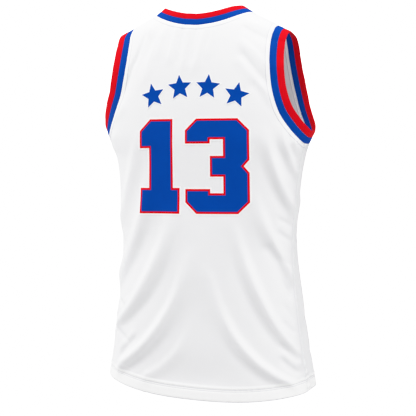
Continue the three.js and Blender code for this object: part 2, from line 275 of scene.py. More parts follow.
def bodyNormal(points, face):
    power, column = roundness[face], depthColumn[face]
    x, y, z = points.T
    width, depth = halfWidth(x, z), valueAt(bodySections, z, column)
    widthSlope = (halfWidth(x, z + 1) - halfWidth(x, z - 1)) / 2
    depthSlope = (valueAt(bodySections, z + 1, column) - valueAt(bodySections, z - 1, column)) / 2
    u, v = np.abs(x) / width, np.abs(y) / depth
    return unit(np.stack([
        np.sign(x) * u ** (power - 1) / width,
        outward[face] * v ** (power - 1) / depth,
        -(u**power) * widthSlope / width - v**power * depthSlope / depth,
    ], axis=-1))


# Height of one fold, which follows its bow, falls away gently on its lower flank and ends softly
def foldRise(fold, x, z, risesSlowly):
    form = foldForm
    length = math.hypot(fold["toX"] - fold["x"], fold["toZ"] - fold["z"])
    alongX = (fold["toX"] - fold["x"]) / length
    alongZ = (fold["toZ"] - fold["z"]) / length
    t = ((x - fold["x"]) * alongX + (z - fold["z"]) * alongZ) / length
    across = (z - fold["z"]) * alongX - (x - fold["x"]) * alongZ
    inside = np.clip(t, 0, 1)
    past = np.maximum(0, t - 1) * length
    if risesSlowly:
        start = smooth(form["riseFrom"], form["riseTo"], t)
    else:
        start = bell(np.minimum(0, t) * length, form["creaseStart"])
    off = across - fold["bow"] * 4 * inside * (1 - inside)
    flank = np.where(off * alongX > 0, form["upperFlank"], form["lowerFlank"])
    width = (fold["width"] + (fold["toWidth"] - fold["width"]) * inside) * flank
    return fold["height"] * bell(off, width) * bell(past, min(form["endReach"], length / 3)) * start


# Height of a panel's folds, creases and swells, which die out at the side seams
def foldHeight(x, z, face):
    height = np.zeros_like(x)
    for rows, risesSlowly in ((folds[face], True), (creases[face], False)):
        for row in zip(*rows.values()):
            height += foldRise(dict(zip(foldColumns, row)), x, z, risesSlowly)
    for swellX, swellZ, reachX, reachZ, swell in zip(*swells[face].values()):
        height += swell * bell(x - swellX, reachX) * bell(z - swellZ, reachZ)
    return height * (1 - np.minimum(1, np.abs(x) / halfWidth(x, z)) ** foldForm["sideFade"][face])


# Points of a panel's middle surface and the way out of the cloth there
def clothPoint(x, z, face, foldShare=1):
    base = bodyPoint(x, z, face)
    normal = bodyNormal(base, face)
    return base + normal * (foldHeight(x, z, face) * foldShare)[:, None], normal


# Place of an armhole seam on one panel, at shares of its length from the shoulder tip down
def armholeSeam(side, face, share):
    rows, sign = armholes[side], sideSign[side]
    points = bodyPoint(sign * rows[face], rows["z"], face)
    lengths = np.append(0, np.cumsum(np.linalg.norm(np.diff(points, axis=0), axis=1)))
    byLength = {"z": -lengths, "height": rows["z"], "width": rows[face]}
    z = valueAt(byLength, -lengths[-1] * share, "height")
    widest = halfWidth(sign + 0 * z, z)
    width = np.minimum(widest, valueAt(byLength, -lengths[-1] * share, "width"))
    width = np.where((share <= 0) | (share >= 1), widest, width)
    return sign * width, z


# Cloth panels
panelCut = {
    "hemSide": -733,
    "hemMiddle": -755,
    "hemCurve": 2.5,
    "hemTilt": 11,  # it hangs lower at the wearer's right
    "neckDrop": {"back": 28, "front": 118},
    "neckCurve": {"back": 2, "front": 2.6},
    "underarm": -262,
    "yoke": 34,  # depth of the last rows below the neck seam
    "bodyRows": 17,
    "armRows": 12,
    "shoulderRows": 3,
    "thickness": 1.4,
    "apart": 0.2,
    "halfGirth": 262,  # from the middle to a side seam along the cloth, at the chest
    "typicalDepth": {"back": 0.45, "front": 0.68},  # of a level section, against its half width
}
armTop = panelCut["bodyRows"] + panelCut["armRows"]
neckRow = armTop + panelCut["shoulderRows"]
rowHeight = (panelCut["underarm"] - panelCut["hemMiddle"]) / panelCut["bodyRows"]
panelMesh = {
    "columns": 200,
    "sideCloseness": 0.5,  # spacing of the columns at a side seam, against the mean
    "rowZones": [(0, 0), (1.4, 28), (17, 140), (29, 200), (32, 222)],  # row of the solid, row of the mesh
    "meshRows": 222,
}
# Distances are from the trim, the hem's edge or a side seam. Rises and falls have a start and an end, and
# the other pairs are a height with a reach
seamDetail = {
    "puff": 0.5,  # of two layers above one
    "puffRise": (0.2, 2.4),
    "puffFall": (7.2, 9.4),
    "trimTuck": (0.35, 1.8),
    "allowanceEnd": 7.6,
    "topstitch": 8.2,
    "topstitchGroove": (0.45, 1.1),
    "sideGroove": (0.9, 1.6),
    "sideRidge": 4.5,
    "sideRidgeForm": (0.6, 1.8),
    "noStitch": 20,  # added on the front, so that the side seam's lines show on the back alone
    "puckers": (0.85, 12),
    "puckerWaves": {
        "pitch": 2.3,
        "drifts": [(1.4, 31), (0.8, 9.5)],
        "steady": 0.55,  # share of the height that doesn't swell and sink
        "swell": 23,
        "start": 1,
    },
    "hemWidth": 24,
    "hemLines": (20.4, 23.4),
    "hemLineGroove": (0.6, 1.1),
    "hemRidge": 27.4,
    "hemRidgeForm": (1.1, 2),
    "hemRoll": (1.3, 2),
    "ripples": (0.22, 6),
    "rippleWaves": {"pitch": 2.1, "drifts": [(1.2, 17)], "steady": 0.6, "swell": 29, "start": 0},
    "rippleMiddle": 22,
    "hemCalm": (14, 38),  # the folds at the back grow to their full height between these
    "calmShare": 0.45,
}


def rowEnd(row, side, face):
    cut, sign = panelCut, sideSign[side]
    tip, underarm = armholes[side]["z"][0], armholes[side]["z"][-1]
    seamX, seamZ = armholeSeam(side, face, np.clip((armTop - row) / cut["armRows"], 0, 1))
    bodyZ = cut["hemSide"] + (underarm - cut["hemSide"]) * row / cut["bodyRows"]
    shoulderZ = tip * (1 - (row - armTop) / cut["shoulderRows"])
    below, over = row < cut["bodyRows"], row > armTop
    z = np.where(below, bodyZ, np.where(over, shoulderZ, seamZ))
    tilted = z + np.where(below, sign * cut["hemTilt"] * (1 - row / cut["bodyRows"]), 0)
    x = np.where(below | over, sign * halfWidth(sign + 0 * z, tilted), seamX)
    return x, z


# Place on a panel from its row and its share of the way from the middle to a side, below 0 at the right
def panelPlace(row, share, face):
    cut = panelCut
    body = np.minimum(1, row / cut["bodyRows"])
    arm = np.clip((row - cut["bodyRows"]) / cut["armRows"], 0, 1)
    top = np.maximum(0, (row - armTop) / cut["shoulderRows"])
    yoke = -cut["neckDrop"][face] - cut["yoke"]
    middle = (
        cut["hemMiddle"]
        + (cut["underarm"] - cut["hemMiddle"]) * body
        + (yoke - cut["underarm"]) * arm
        + cut["yoke"] * top
    )
    curve = cut["hemCurve"] + (cut["neckCurve"][face] - cut["hemCurve"]) * arm
    rightX, rightZ = rowEnd(row, "right", face)
    leftX, leftZ = rowEnd(row, "left", face)
    endX, endZ = np.where(share < 0, rightX, leftX), np.where(share < 0, rightZ, leftZ)
    size = np.abs(share)
    tilt = cut["hemTilt"] * (1 - body) * share
    return endX * size, middle + (endZ - middle) * size**curve + tilt


# Shares of the half width that are evenly spaced along a typical section of the cloth
def evenShare(arc, face):
    turn = np.linspace(0, math.pi / 2, 4000)
    share = np.sin(turn)
    power = roundness[face]
    depth = panelCut["typicalDepth"][face] * (1 - share**power) ** (1 / power)
    steps = np.hypot(np.diff(share), np.diff(depth))
    lengths = np.append(0, np.cumsum(steps))
    return np.interp(arc, lengths / lengths[-1], share)


# Seam loops that the trim is sewn to, with the points of both panels
def seamLoop(kind, steps):
    ramp = np.arange(steps) / steps
    if kind == "neck":
        outwards, inwards = np.sin(ramp * math.pi / 2), np.sin((1 - ramp) * math.pi / 2)
        parts = [("back", outwards), ("front", inwards), ("front", -outwards), ("back", -inwards)]
        made = [clothPoint(*panelPlace(neckRow + 0 * share, share, face), face) for face, share in parts]
    else:
        made = [
            clothPoint(*armholeSeam(kind, "back", ramp), "back"),
            clothPoint(*armholeSeam(kind, "front", 1 - ramp), "front"),
        ]
    points, normals = zip(*made)
    return np.concatenate(points), np.concatenate(normals)


loopSteps = {"neck": 96, "right": 192, "left": 192}
seamLoops = {kind: seamLoop(kind, steps) for kind, steps in loopSteps.items()}


def distanceTo(points, line):
    tree = KDTree(len(line))
    for i, point in enumerate(line):
        tree.insert(point, i)
    tree.balance()
    return np.array([tree.find(point)[2] for point in points])


# A ridge round a line, from its height and reach
def ridge(off, form):
    height, reach = form
    return height * bell(off, reach)


# Small waves of uneven spacing and height, where drifts pairs a size with a length
def unevenWaves(place, waves):
    phase = place / waves["pitch"] + sum(size * np.sin(place / length) for size, length in waves["drifts"])
    swell = np.sin(place / waves["swell"] + waves["start"])
    return np.sin(phase) * (waves["steady"] + (1 - waves["steady"]) * swell)


# The turned edge beside the trim: two layers that puff up, a tuck at the seam and a line of topstitching
def trimEdgeLift(toTrim):
    detail = seamDetail
    puff = detail["puff"] * smooth(*detail["puffRise"], toTrim) * (1 - smooth(*detail["puffFall"], toTrim))
    tuck, tuckReach = detail["trimTuck"]
    groove = ridge(toTrim - detail["topstitch"], detail["topstitchGroove"])
    return puff - tuck * (1 - smooth(0, tuckReach, toTrim)) - groove


# The side seam below the underarm, puckered, with a groove and the ridge of its allowance
def sideSeamLift(toSide, z, bodyOnly, shoulderOnly):
    detail = seamDetail
    puckers = unevenWaves(z, detail["puckerWaves"]) * ridge(toSide, detail["puckers"])
    allowance = ridge(toSide - detail["sideRidge"], detail["sideRidgeForm"])
    groove = ridge(toSide, detail["sideGroove"])
    return bodyOnly * (puckers + allowance) - (bodyOnly + shoulderOnly) * groove


# The hem: two layers that ripple between the rows of stitches, a ridge above them and a rolled lower edge
def hemLift(toHem, along):
    detail = seamDetail
    lift = detail["puff"] * (1 - smooth(detail["hemWidth"] - 1.2, detail["hemWidth"] + 1.4, toHem))
    ripples = unevenWaves(along, detail["rippleWaves"])
    lift += ripples * ridge(toHem - detail["rippleMiddle"], detail["ripples"])
    lift += ridge(toHem - detail["hemRidge"], detail["hemRidgeForm"]) - ridge(toHem, detail["hemRoll"])
    for line in detail["hemLines"]:
        lift -= ridge(toHem - line, detail["hemLineGroove"])
    return lift


# A panel's middle surface at shares of its girth and its mesh rows, with what its material needs
def panelSurface(s, t, face):
    detail = seamDetail
    fromSide = 1 - np.abs(2 * s - 1)
    close = panelMesh["sideCloseness"]
    arc = 1 - fromSide * (close + (1 - close) * fromSide)
    share = np.sign(s - 0.5) * evenShare(arc, face)
    rows, meshRows = np.array(panelMesh["rowZones"], float).T
    row = np.interp(t * panelMesh["meshRows"], meshRows, rows)
    x, z = panelPlace(row, share, face)
    toHem = row * rowHeight
    calm = detail["calmShare"]
    foldShare = calm + (1 - calm) * smooth(*detail["hemCalm"], toHem) if face == "back" else 1
    points, normals = clothPoint(x, z, face, foldShare)
    toTrim = np.min([distanceTo(points, seamLoops[kind][0]) for kind in seamLoops], axis=0)
    toSide = (1 - arc) * panelCut["halfGirth"]
    bodyOnly = 1 - smooth(panelCut["bodyRows"] - 0.5, panelCut["bodyRows"], row)
    shoulderOnly = smooth(armTop, armTop + 0.3, row)
    lift = trimEdgeLift(toTrim) + sideSeamLift(toSide, z, bodyOnly, shoulderOnly)
    lift += hemLift(toHem, share * panelCut["halfGirth"])
    points = points + normals * lift[:, None]
    points[:, 1] += outward[face] * panelCut["apart"]
    turnedHem = 1 - smooth(detail["hemRidge"] - 0.2, detail["hemRidge"] + 2, toHem)
    turnedEdge = 1 - smooth(detail["allowanceEnd"] - 0.8, detail["allowanceEnd"] + 0.8, toTrim)
    return {
        "points": points,
        "normals": normals,
        "uv": np.stack([np.sign(s - 0.5) * arc * panelCut["halfGirth"], toHem], axis=-1) * mm,
        "toTrim": toTrim,
        "toHem": toHem,
        "toStitch": toSide + (0 if face == "back" else detail["noStitch"]),
        "doubled": np.maximum(turnedHem, turnedEdge),
    }


# A flat grid of faces that takes its form, its UV map in metres and its attributes from place(s, t)
def shapedGrid(name, across, up, place):
    bm = bmesh.new()
    bmesh.ops.create_grid(bm, x_segments=across, y_segments=up, size=0.5)
    mesh = bpy.data.meshes.new(name)
    bm.to_mesh(mesh)
    bm.free()
    flat = np.zeros(len(mesh.vertices) * 3)
    mesh.vertices.foreach_get("co", flat)
    flat = flat.reshape(-1, 3)
    made = place(flat[:, 0] + 0.5, flat[:, 1] + 0.5)
    mesh.vertices.foreach_set("co", (made["points"] * mm).ravel())
    corner = np.zeros(len(mesh.loops), int)
    mesh.loops.foreach_get("vertex_index", corner)
    layer = mesh.uv_layers.new(name="UVMap")
    layer.data.foreach_set("uv", made["uv"][corner].ravel())
    for key in sorted(set(made) - {"points", "normals", "uv"}):
        mesh.attributes.new(key, "FLOAT", "POINT").data.foreach_set("value", made[key])
    return mesh


def finishedPiece(mesh, material):
    mesh.materials.append(material)
    mesh.polygons.foreach_set("use_smooth", [True] * len(mesh.polygons))
    mesh.update()
    piece = bpy.data.objects.new(mesh.name, mesh)
    bpy.context.scene.collection.objects.link(piece)
    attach(piece, "root")
    return piece


def thicken(piece, thickness):
    wall = piece.modifiers.new("wall", "SOLIDIFY")
    wall.thickness = thickness * mm
    wall.offset = 0


def withMesh(mesh, work):
    bm = bmesh.new()
    bm.from_mesh(mesh)
    work(bm)
    bm.to_mesh(mesh)
    bm.free()


# Materials
def linear(hexColour):
    channels = [int(hexColour[i:i + 2], 16) / 255 for i in (1, 3, 5)]
    return [c / 12.92 if c <= 0.04045 else ((c + 0.055) / 1.055) ** 2.4 for c in channels] + [1]


# Adds a node with its settings and links, and gives back one of its outputs
def addNode(tree, kind, settings, links=(), output=0):
    node = tree.nodes.new(kind)
    for name, value in settings.items():
        if name in node.inputs.keys() or isinstance(name, int):
            node.inputs[name].default_value = value
        else:
            setattr(node, name, value)
    for name, source in dict(links).items():
        tree.links.new(source, node.inputs[name])
    return node.outputs[output]


metreWave = 0.314  # scale at which a wave texture repeats once in a metre


# A soft cloth shader whose colour and bump height come from the sockets given
def clothMaterial(name, look, build):
    material = bpy.data.materials.new(name)
    material.use_nodes = True
    tree = material.node_tree
    shader = tree.nodes["Principled BSDF"]
    for socket in ("Roughness", "IOR", "Sheen Weight", "Sheen Roughness", "Specular IOR Level"):
        shader.inputs[socket].default_value = look[socket]
    shader.inputs["Sheen Tint"].default_value = linear(look["sheenColour"])
    uv = addNode(tree, "ShaderNodeUVMap", {"uv_map": "UVMap"})
    colour, height = build(tree, uv, look)
    settings = {"Strength": look["bump"], "Distance": look["bumpDepth"]}
    bump = addNode(tree, "ShaderNodeBump", settings, {"Height": height})
    tree.links.new(bump, shader.inputs["Normal"])
    tree.links.new(colour, shader.inputs["Base Color"])
    return material


# How near a line of stitches is, from 0 to 1, where the attribute gives the distance in millimetres. The
# knit sinks along it and is darkened there with painted shade
def stitchLine(tree, attribute, at, width):
    distance = addNode(tree, "ShaderNodeAttribute", {"attribute_name": attribute}, output="Fac")
    off = addNode(tree, "ShaderNodeMath", {"operation": "SUBTRACT", 1: at}, {0: distance})
    size = addNode(tree, "ShaderNodeMath", {"operation": "ABSOLUTE"}, {0: off})
    falling = {"interpolation_type": "SMOOTHSTEP", "From Max": width, "To Min": 1, "To Max": 0}
    return addNode(tree, "ShaderNodeMapRange", falling, {"Value": size})


def knitLook(tree, uv, look):
    turned = addNode(tree, "ShaderNodeMapping", {"Rotation": (0, 0, math.radians(90))}, {"Vector": uv})
    waleWave, courseWave = ({"Scale": metreWave / (look[key] * mm)} for key in ("wale", "course"))
    wales = addNode(tree, "ShaderNodeTexWave", waleWave, {"Vector": uv}, "Fac")
    courses = addNode(tree, "ShaderNodeTexWave", courseWave, {"Vector": turned}, "Fac")
    cloud = addNode(tree, "ShaderNodeTexNoise", look["cloud"], {"Vector": uv}, "Fac")
    fuzz = addNode(tree, "ShaderNodeTexNoise", look["fuzz"], {"Vector": uv}, "Fac")
    shades = {"data_type": "RGBA", 6: linear(look["shade"]), 7: linear(look["colour"])}
    colour = addNode(tree, "ShaderNodeMix", shades, {0: cloud}, 2)
    doubled = addNode(tree, "ShaderNodeAttribute", {"attribute_name": "doubled"}, output="Fac")
    turnedCloth = {"data_type": "RGBA", 7: linear(look["doubledColour"])}
    colour = addNode(tree, "ShaderNodeMix", turnedCloth, {0: doubled, 6: colour}, 2)
    height = addNode(tree, "ShaderNodeMath", {"operation": "MULTIPLY_ADD", 1: 0.6}, {0: wales, 2: fuzz})
    height = addNode(tree, "ShaderNodeMath", {"operation": "MULTIPLY_ADD", 1: 0.35}, {0: courses, 2: height})
    # Each line sinks the bump and darkens the colour: the darkening is painted shade of the seam grooves,
    # stitch lines and the hem's rolled edge
    paintedShade = {"data_type": "RGBA", "blend_type": "MULTIPLY", 7: linear(look["paintedLineShade"])}
    for attribute, at, width, depth in look["lines"]:
        line = stitchLine(tree, attribute, at, width)
        sunk = {"operation": "MULTIPLY_ADD", 1: -depth}
        height = addNode(tree, "ShaderNodeMath", sunk, {0: line, 2: height})
        colour = addNode(tree, "ShaderNodeMix", paintedShade, {0: line, 6: colour}, 2)
    return colour, height


def trimLook(tree, uv, look):
    lengthened = addNode(tree, "ShaderNodeMapping", {"Scale": look["stretch"]}, {"Vector": uv})
    streaks = addNode(tree, "ShaderNodeTexNoise", look["streaks"], {"Vector": lengthened}, "Fac")
    turned = addNode(tree, "ShaderNodeMapping", {"Rotation": (0, 0, math.radians(90))}, {"Vector": uv})
    ribWave = {"Scale": metreWave / (look["rib"] * mm), "Distortion": 0.4}
    ribs = addNode(tree, "ShaderNodeTexWave", ribWave, {"Vector": turned}, "Fac")
    shades = {"data_type": "RGBA", 6: linear(look["shade"]), 7: linear(look["colour"])}
    colour = addNode(tree, "ShaderNodeMix", shades, {0: streaks}, 2)
    height = addNode(tree, "ShaderNodeMath", {"operation": "MULTIPLY_ADD", 1: 0.7}, {0: ribs, 2: streaks})
    return colour, height


def twillLook(tree, uv, look):
    slanted = {"Rotation": (0, 0, math.radians(look["slant"]))}
    turned = addNode(tree, "ShaderNodeMapping", slanted, {"Vector": uv})
    lineWave = {"Scale": metreWave / (look["twill"] * mm)}
    lines = addNode(tree, "ShaderNodeTexWave", lineWave, {"Vector": turned}, "Fac")
    cloud = addNode(tree, "ShaderNodeTexNoise", look["cloud"], {"Vector": uv}, "Fac")
    shades = {"data_type": "RGBA", 6: linear(look["shade"]), 7: linear(look["colour"])}
    colour = addNode(tree, "ShaderNodeMix", shades, {0: cloud}, 2)
    height = addNode(tree, "ShaderNodeMath", {"operation": "MULTIPLY_ADD", 1: 0.5}, {0: lines, 2: cloud})
    return colour, height


# Polyester interlock knit: bright, even and matt, with a faint bloom where it turns away
knitWhite = {
    "Roughness": 0.8, "IOR": 1.5, "Sheen Weight": 0.12, "Sheen Roughness": 0.5, "Specular IOR Level": 0.3,
    # The line colour is painted shade along the seam grooves, stitch lines and the hem's rolled edge
    "sheenColour": "#FFFFFF", "colour": "#F5F5F6", "shade": "#F1F1F3", "paintedLineShade": "#E2E2E7",
    "doubledColour": "#FDFDFD",  # turned edges are two layers thick and let less light through
    "wale": 2.4, "course": 2.1,  # real wales are 0.6 mm apart, drawn coarser to show at all
    "cloud": {"Scale": 14, "Detail": 3, "Roughness": 0.5},
    "fuzz": {"Scale": 700, "Detail": 2, "Roughness": 0.6},
    "bump": 0.1, "bumpDepth": 0.0003,
    "lines": [  # what the distance is from, the distance, the width and the depth; each line also gets painted shade
        ("toTrim", 8.2, 1.3, 1.2),
        ("toHem", 20.4, 1.0, 0.7),
        ("toHem", 23.8, 1.4, 1.7),
        ("toHem", 0.3, 2.1, 0.7),
        ("toStitch", 0.4, 0.9, 0.8),
        ("toStitch", 9, 1.1, 0.9),
    ],
}
# Knitted striped trim, dyed in the yarn: saturated, with fine lengthwise ribs that catch light in streaks
trimRib = {
    "Roughness": 0.68, "IOR": 1.5, "Sheen Weight": 0.0, "Sheen Roughness": 0.4, "Specular IOR Level": 0.06,
    "sheenColour": "#FFFFFF", "bump": 0.22, "bumpDepth": 0.0005,
    "stretch": (22, 620, 1),
    "streaks": {"Scale": 1, "Detail": 3, "Roughness": 0.6},
    "rib": 1.9,  # real ribs are 0.9 mm apart
}
# Polyester twill, cut and pressed on: flat, a little smoother than the knit, with fine diagonal lines
twill = {
    "Roughness": 0.7, "IOR": 1.5, "Sheen Weight": 0.0, "Sheen Roughness": 0.4, "Specular IOR Level": 0.05,
    "sheenColour": "#FFFFFF", "slant": 27, "bump": 0.08, "bumpDepth": 0.0003,
    "cloud": {"Scale": 30, "Detail": 3, "Roughness": 0.6},
    "twill": 1.8,  # real lines are 0.5 mm apart
}
# Spun polyester thread: matt, lying half sunk in the cloth
thread = {
    "Roughness": 0.7, "IOR": 1.5, "Sheen Weight": 0.1, "Sheen Roughness": 0.4, "Specular IOR Level": 0.3,
    "sheenColour": "#FFFFFF", "colour": "#EFEFF1", "shade": "#E6E6EA",
    "slant": 27, "twill": 0.8, "bump": 0.05, "bumpDepth": 0.0002,
    "cloud": {"Scale": 30, "Detail": 3, "Roughness": 0.6},
}

materials = {"knit": clothMaterial("polyester_interlock_white", knitWhite, knitLook)}
dyed = [
    ("trimBlue", "knitted_trim_blue", trimRib, trimLook, "#0052BA", "#003C98"),
    ("trimRed", "knitted_trim_red", trimRib, trimLook, "#F20A20", "#CC0416"),
    ("twillBlue", "pressed_twill_blue", twill, twillLook, "#004CB0", "#0044A4"),
    ("twillRed", "pressed_twill_red", twill, twillLook, "#EE0010", "#E2000E"),
    ("twillWhite", "pressed_twill_white", twill, twillLook, "#FFFFFF", "#FDFDFD"),
]
for key, name, look, build, colour, shade in dyed:
    materials[key] = clothMaterial(name, look | {"colour": colour, "shade": shade}, build)
materials["thread"] = clothMaterial("spun_thread_white", thread, twillLook)
print("materials made")

# Panels
panelSheets = {
    "back": {"piece": "back_cloth", "node": "back_panel", "flat": (0.53, 0.76), "area": 0.31},
    "front": {"piece": "front_cloth", "node": "front_panel", "flat": (0.60, 0.76), "area": 0.33},
}
for face, sheet in panelSheets.items():
    mesh = shapedGrid(
        sheet["piece"], panelMesh["columns"], panelMesh["meshRows"], lambda s, t: panelSurface(s, t, face)
    )
    if face == "back":
        withMesh(mesh, lambda bm: bmesh.ops.reverse_faces(bm, faces=bm.faces))
    panel = finishedPiece(mesh, materials["knit"])
    thicken(panel, panelCut["thickness"])
    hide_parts(sheet["node"])
print("panels made")

# Striped trim: a blue strip beside the seam and a red one at the opening's edge
trim = {
    "gap": 0.3,
    "joint": 0.1,
    "halfThickness": 1.0,
    "crown": 0.35,
    "waver": 0.35,  # up and down of the free edge
    "waverWaves": [(1, 7, 0), (0.7, 17, 1)],  # share of the waver, waves in a round, start
    "squareness": (0.3, 0.45),  # of the section across and through, where 1 is round
    "directionSpan": 6,  # seam points to either side that give its direction
    "sectionPoints": 28,
    "neck": {"width": 23, "blueShare": 0.52, "sign": 1, "evened": 18, "length": 0.70},
    "right": {"width": 28.5, "blueShare": 0.5, "sign": -1, "evened": 48, "length": 0.62},
    "left": {"width": 28.5, "blueShare": 0.5, "sign": 1, "evened": 48, "length": 0.59},
}
# Degrees that the trim leans out of the cloth, what the back adds and what the underarm takes off
trimLeans = {"neck": (9, 0, 0), "right": (20, 6, 2), "left": (20, 6, 14)}


# Each row's mean with its neighbours round a closed loop, the near ones counting most
def evenedLoop(values, reach):
    return sum((1 - abs(j) / reach) * np.roll(values, -j, axis=0) for j in range(-reach + 1, reach))


# Directions at each point of a seam: across into the opening, and out of the cloth, after the lean
def trimDirections(kind):
    points, normals = seamLoops[kind]
    span = trim["directionSpan"]
    along = unit(np.roll(points, -span, axis=0) - np.roll(points, span, axis=0))
    even = evenedLoop(normals, trim[kind]["evened"])
    even = unit(even - along * (even * along).sum(axis=1, keepdims=True))
    flat = unit(np.cross(along, even)) * trim[kind]["sign"]
    turn = np.arange(len(points)) / len(points) * 2 * math.pi
    usual, moreBehind, lessBelow = trimLeans[kind]
    lean = np.radians(usual + moreBehind * np.sin(turn) - lessBelow * (1 - np.cos(turn)) / 2)
    cosine, sine = np.cos(lean)[:, None], np.sin(lean)[:, None]
    return points, flat * cosine + even * sine, even * cosine - flat * sine, flat


def trimStrip(kind, start, end):
    points, across, out, _ = trimDirections(kind)
    count = len(points)
    lengths = np.append(0, np.cumsum(np.linalg.norm(np.roll(points, -1, axis=0) - points, axis=1)))
    acrossPower, throughPower = trim["squareness"]

    def place(s, t):
        i = np.round(s * count).astype(int)
        turn = 2 * math.pi * t
        wide = np.sign(np.cos(turn)) * np.abs(np.cos(turn)) ** acrossPower
        thick = np.sign(np.sin(turn)) * np.abs(np.sin(turn)) ** throughPower
        distance = (start + end) / 2 + wide * (end - start) / 2
        crowned = thick * (trim["halfThickness"] + trim["crown"] * (1 - wide**2) * (thick > 0))
        along, whole = lengths[i], lengths[-1]
        waver = 0
        for size, waves, phase in trim["waverWaves"]:
            waver = waver + size * np.sin(2 * math.pi * waves * along / whole + phase)
        crowned = crowned + trim["waver"] * waver * (distance / trim[kind]["width"]) ** 2
        k = i % count
        placed = points[k] + across[k] * distance[:, None] + out[k] * crowned[:, None]
        return {"points": placed, "uv": np.stack([along, distance], axis=-1) * mm}

    return place, count


def makeTrim(kind, colour, start, end, node):
    place, count = trimStrip(kind, start, end)
    mesh = shapedGrid(node.replace("band", "trim"), count, trim["sectionPoints"], place)

    def close(bm):
        bmesh.ops.remove_doubles(bm, verts=bm.verts, dist=1e-6)
        bmesh.ops.recalc_face_normals(bm, faces=bm.faces)

    withMesh(mesh, close)
    strip = finishedPiece(mesh, materials["trim" + colour])
    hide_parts(node)


for kind, name in (("neck", "neck_band"), ("right", "right_armhole_band"), ("left", "left_armhole_band")):
    middle = trim[kind]["width"] * trim[kind]["blueShare"]
    makeTrim(kind, "Blue", trim["gap"], middle, name + "_blue")
    makeTrim(kind, "Red", middle + trim["joint"], trim[kind]["width"], name + "_red")
print("trim made")

# Stitches, as short lengths of thread half sunk in the cloth
stitch = {
    "pitch": 3.0,
    "length": 2.3,
    "halfWidth": 0.26,
    "halfHeight": 0.2,
    "sunk": 0.4,  # below the cloth's outer face, beside the trim
    "pointGap": 20,  # points of a row that are further apart belong to its two ends
}


def stitchRow(bm, points, normals):
    lengths = np.append(0, np.cumsum(np.linalg.norm(np.diff(points, axis=0), axis=1)))
    count = int(lengths[-1] / stitch["pitch"])
    at = (np.arange(count) + 0.5) * lengths[-1] / count

    def along(values, where):
        return np.stack([np.interp(where, lengths, values[:, k]) for k in range(3)], axis=1)

    centres, out = along(points, at), unit(along(normals, at))
    way = unit(along(points, at + 0.5) - along(points, at - 0.5))
    for centre, normal, forward in zip(centres, out, way):
        side = np.cross(normal, forward)
        sizes = (stitch["length"] / 2, stitch["halfWidth"], stitch["halfHeight"])
        axes = [axis * size for axis, size in zip((forward, side, normal), sizes)]
        turned = Matrix.Identity(4)
        for k, column in enumerate(axes + [centre]):
            turned.col[k][:3] = column
        bmesh.ops.create_icosphere(bm, subdivisions=1, radius=1, matrix=Matrix.Scale(mm, 4) @ turned)


def stitchPiece(name, rows):
    bm = bmesh.new()
    for points, normals in rows:
        stitchRow(bm, points, normals)
    bm.loops.layers.uv.new("UVMap")
    mesh = bpy.data.meshes.new(name)
    bm.to_mesh(mesh)
    bm.free()
    return finishedPiece(mesh, materials["thread"])


def hemRow(face, height):
    s = np.linspace(0.004, 0.996, 600)
    rows, meshRows = np.array(panelMesh["rowZones"], float).T
    t = np.interp(height / rowHeight, rows, meshRows) / panelMesh["meshRows"]
    made = panelSurface(s, t + 0 * s, face)
    return made["points"] + made["normals"] * panelCut["thickness"] / 2, made["normals"]


# A row on the panels beside the trim, kept out of the opening by the topstitch distance
def trimRow(kind):
    points, _, _, flat = trimDirections(kind)
    moved = points - flat * seamDetail["topstitch"]
    parts = []
    for face in ("back", "front"):
        here = moved[:, 1] * outward[face] > 0
        x, z = moved[here, 0], moved[here, 2]
        on, normals = clothPoint(x, z, face)
        on = on + normals * (panelCut["thickness"] / 2 - stitch["sunk"])
        on[:, 1] += outward[face] * panelCut["apart"]
        gaps = np.linalg.norm(np.diff(on, axis=0), axis=1)
        start = int(np.argmax(gaps)) + 1 if gaps.max() > stitch["pointGap"] else 0
        parts.append((np.roll(on, -start, axis=0), np.roll(normals, -start, axis=0)))
    return parts


hemRows = [hemRow(face, line) for face in ("back", "front") for line in seamDetail["hemLines"]]
stitchPiece("hem_stitches", hemRows)
stitchPiece("neck_topstitch", trimRow("neck"))
for side in ("right", "left"):
    stitchPiece(side + "_armhole_topstitch", trimRow(side))
print("stitches made")

# Block figures and stars, pressed on the back in thin layers. Seen from behind, "across" grows to the
# wearer's right
figure = {
    "height": 176,
    "stroke": 42,
    "cut": 20,
    "step": 4,  # spacing of the points that follow the cloth
    "stem": 20,  # from the left end of the one's foot to its upright
    "flagDrop": 6,  # more depth of the one's flag than the stroke
    "bar": 32,  # the middle bar of the three, and where it starts
    "barStart": 50,
    "arm": 32,  # the upper and lower bars of the three
    "endHeight": 40,
    "waist": (12, 14),  # notch at the right of the three
}
# Layers as colour, growth of the outline, height of the middle above the cloth's, and thickness
figureLayers = [("white", 7, 0.95, 0.3), ("red", 4, 1.22, 0.24), ("blue", 0, 1.46, 0.24)]
starLayers = [("white", 1.9, 0.95, 0.3), ("blue", 0, 1.22, 0.24)]


def figureOne(width):
    high, stroke, stem = figure["height"], figure["stroke"], figure["stem"]
    flag = high - stroke - figure["flagDrop"]
    return [
        (0, 0), (width, 0), (width, stroke), (stem + stroke, stroke), (stem + stroke, high), (stem, high),
        (0, high - figure["cut"]), (0, flag), (stem, flag), (stem, stroke), (0, stroke),
    ]


def figureThree(width):
    high, cut, arm = figure["height"], figure["cut"], figure["arm"]
    stroke, endHeight = figure["stroke"], figure["endHeight"]
    notchAcross, notchUp = figure["waist"]
    middle, barEdge = high / 2, high / 2 - figure["bar"] / 2
    outside = [(0, cut), (cut, 0), (width - cut, 0), (width, cut), (width, middle - notchUp)]
    inside = [
        (figure["barStart"], barEdge), (width - stroke, barEdge), (width - stroke, arm),
        (stroke, arm), (stroke, endHeight), (0, endHeight),
    ]
    turnedOutside = [(x, high - y) for x, y in outside][::-1]
    turnedInside = [(x, high - y) for x, y in inside][::-1]
    return outside + [(width - notchAcross, middle)] + turnedOutside + turnedInside + inside


